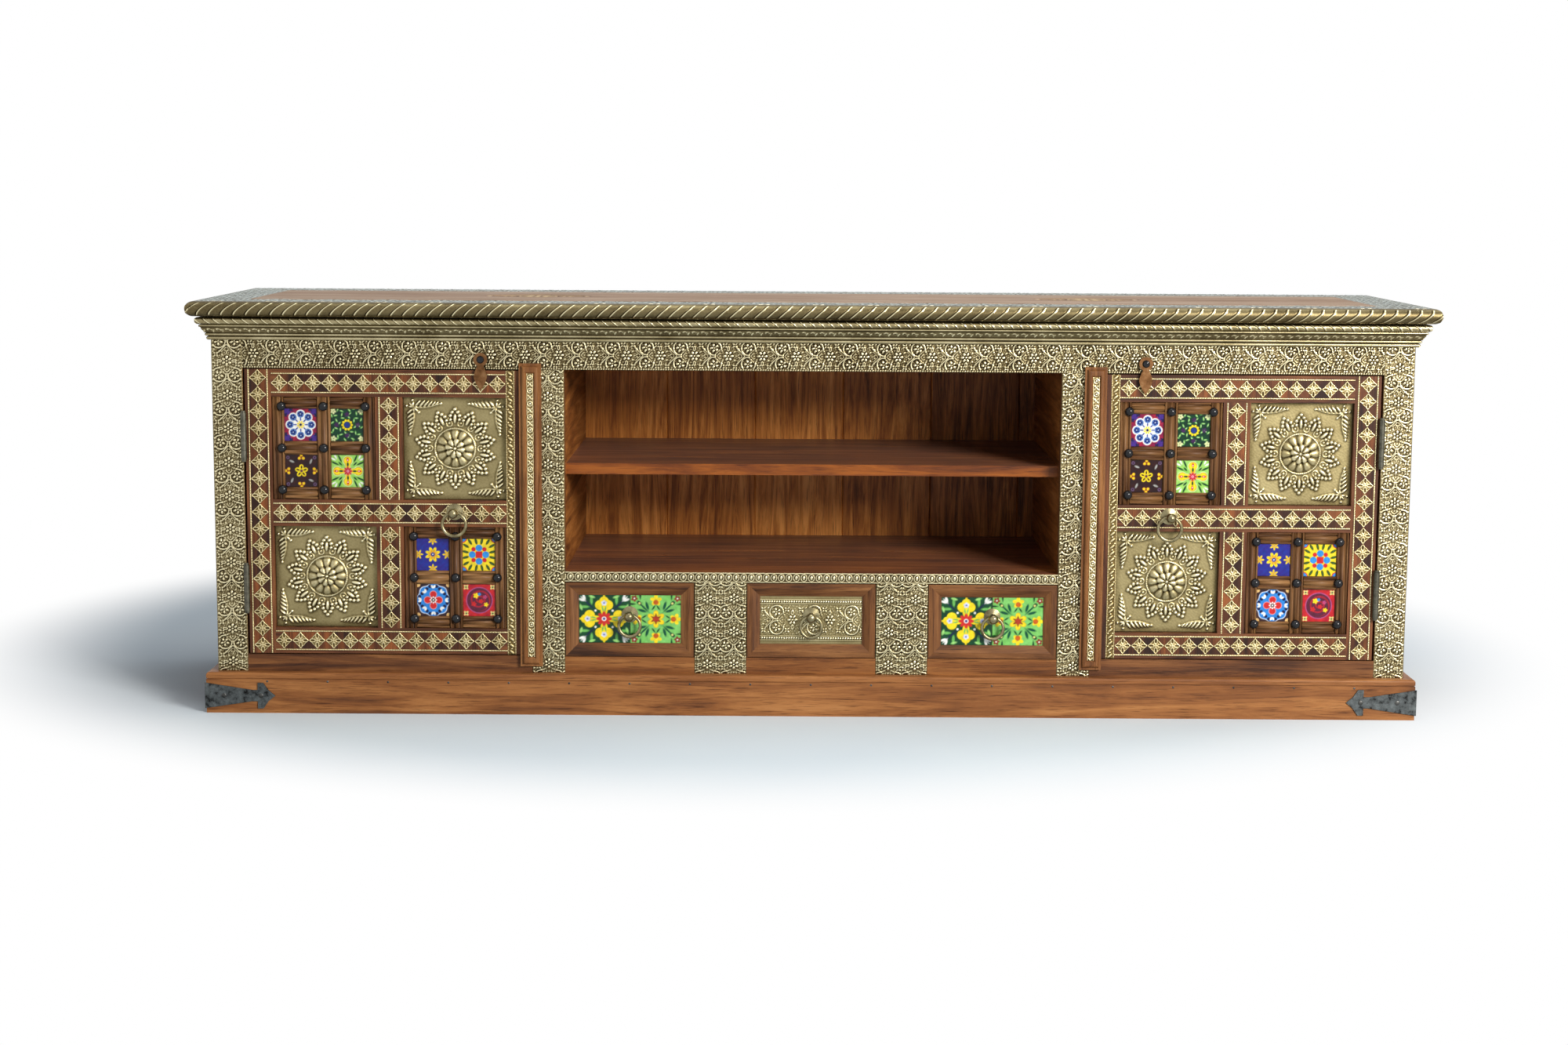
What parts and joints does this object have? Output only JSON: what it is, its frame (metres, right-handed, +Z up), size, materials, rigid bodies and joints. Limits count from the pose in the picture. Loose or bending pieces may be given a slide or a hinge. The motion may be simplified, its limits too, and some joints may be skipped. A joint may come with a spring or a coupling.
{
  "type": "tv cabinet",
  "caption": "Low hardwood cabinet faced with embossed brass: tiled double-panel doors, an open niche with a shelf, and small drawers with ring pulls.",
  "frame": {"origin": "on the floor, under the middle of the top's rectangle", "axes": "+X along the front to the viewer's right, +Y from the front to the back, +Z up"},
  "size_m": [1.8, 0.45, 0.602],
  "materials": {
    "carved_wood": "waxed reddish brown hardwood",
    "inner_wood": "darker waxed hardwood",
    "drawer_wood": "plain sawn hardwood",
    "embossed_brass": "antique brass with dark patina in the hollows",
    "brass_clad_wood": "wood core under embossed antique brass sheet",
    "brass_pulls": "worn cast brass",
    "latch_brass": "brown patinated brass",
    "dark_bronze": "dark bronze",
    "strap_iron": "blackened sheet iron",
    "black_nails": "glossy black domes",
    "glazed_tiles": "hand painted glaze"
  },
  "bodies": {
    "carcass": {"plinth_front": "carved_wood", "plinth_returns": "carved_wood", "corner_straps": "strap_iron", "base_board": "inner_wood", "side_panels": "carved_wood", "partitions": "inner_wood", "front_stiles": "carved_wood", "door_sills": "carved_wood", "frieze_rail": "carved_wood", "drawer_sills": "carved_wood", "drawer_runners": "inner_wood", "drawer_mullions": "carved_wood", "niche_floor": "inner_wood", "niche_shelf": "inner_wood", "back_boards": "inner_wood", "top_nosing": "brass_clad_wood", "top_board": "carved_wood", "top_border": "embossed_brass", "cornice": "brass_clad_wood", "frame_sheets": "embossed_brass", "hinge_frame_leaves": "dark_bronze", "hinge_pins": "dark_bronze", "latch_screws": "latch_brass"},
    "door_left": {"door_left_frame": "carved_wood", "door_left_strips": "embossed_brass", "door_left_lattices": "carved_wood", "door_left_tiles": "glazed_tiles", "door_left_clavos": "black_nails", "door_left_brass_panels": "embossed_brass", "door_left_astragal": "carved_wood", "door_left_hinge_leaves": "dark_bronze", "door_left_knob": "brass_pulls"},
    "ring_door_left": {"door_left_ring": "brass_pulls"},
    "door_right": {"door_right_frame": "carved_wood", "door_right_strips": "embossed_brass", "door_right_lattices": "carved_wood", "door_right_tiles": "glazed_tiles", "door_right_clavos": "black_nails", "door_right_brass_panels": "embossed_brass", "door_right_astragal": "carved_wood", "door_right_hinge_leaves": "dark_bronze", "door_right_knob": "brass_pulls"},
    "ring_door_right": {"door_right_ring": "brass_pulls"},
    "drawer_left": {"drawer_left_front": "carved_wood", "drawer_left_inlay": "glazed_tiles", "drawer_left_box": "drawer_wood", "drawer_left_knob": "brass_pulls"},
    "ring_drawer_left": {"drawer_left_ring": "brass_pulls"},
    "drawer_middle": {"drawer_middle_front": "carved_wood", "drawer_middle_inlay": "brass_clad_wood", "drawer_middle_box": "drawer_wood", "drawer_middle_knob": "brass_pulls"},
    "ring_drawer_middle": {"drawer_middle_ring": "brass_pulls"},
    "drawer_right": {"drawer_right_front": "carved_wood", "drawer_right_inlay": "glazed_tiles", "drawer_right_box": "drawer_wood", "drawer_right_knob": "brass_pulls"},
    "ring_drawer_right": {"drawer_right_ring": "brass_pulls"},
    "latch_left": {"latch_left": "latch_brass"},
    "latch_right": {"latch_right": "latch_brass"}
  },
  "joints": [
    {"name": "door_left_swing", "type": "hinge", "parent": "carcass", "child": "door_left", "pos_m": [-0.8235, -0.199, 0.2948], "axis": [0, 0, -1], "range_deg": [0, 105]},
    {"name": "ring_door_left_swing", "type": "hinge", "parent": "door_left", "child": "ring_door_left", "pos_m": [-0.5195, -0.205, 0.297], "axis": [-1, 0, 0], "range_deg": [0, 95]},
    {"name": "door_right_swing", "type": "hinge", "parent": "carcass", "child": "door_right", "pos_m": [0.8235, -0.199, 0.2948], "axis": [0, 0, 1], "range_deg": [0, 105]},
    {"name": "ring_door_right_swing", "type": "hinge", "parent": "door_right", "child": "ring_door_right", "pos_m": [0.5195, -0.205, 0.297], "axis": [-1, 0, 0], "range_deg": [0, 95]},
    {"name": "drawer_left_slide", "type": "slide", "parent": "carcass", "child": "drawer_left", "axis": [0, -1, 0], "range_m": [0, 0.25]},
    {"name": "ring_drawer_left_swing", "type": "hinge", "parent": "drawer_left", "child": "ring_drawer_left", "pos_m": [-0.26533, -0.199, 0.1465], "axis": [-1, 0, 0], "range_deg": [0, 95]},
    {"name": "drawer_middle_slide", "type": "slide", "parent": "carcass", "child": "drawer_middle", "axis": [0, -1, 0], "range_m": [0, 0.25]},
    {"name": "ring_drawer_middle_swing", "type": "hinge", "parent": "drawer_middle", "child": "ring_drawer_middle", "pos_m": [0, -0.199, 0.1465], "axis": [-1, 0, 0], "range_deg": [0, 95]},
    {"name": "drawer_right_slide", "type": "slide", "parent": "carcass", "child": "drawer_right", "axis": [0, -1, 0], "range_m": [0, 0.25]},
    {"name": "ring_drawer_right_swing", "type": "hinge", "parent": "drawer_right", "child": "ring_drawer_right", "pos_m": [0.26533, -0.199, 0.1465], "axis": [-1, 0, 0], "range_deg": [0, 95]},
    {"name": "latch_left_turn", "type": "hinge", "parent": "carcass", "child": "latch_left", "pos_m": [-0.48, -0.1985, 0.519], "axis": [0, 1, 0], "range_deg": [-100, 100]},
    {"name": "latch_right_turn", "type": "hinge", "parent": "carcass", "child": "latch_right", "pos_m": [0.48, -0.1985, 0.519], "axis": [0, 1, 0], "range_deg": [-100, 100]}
  ]
}
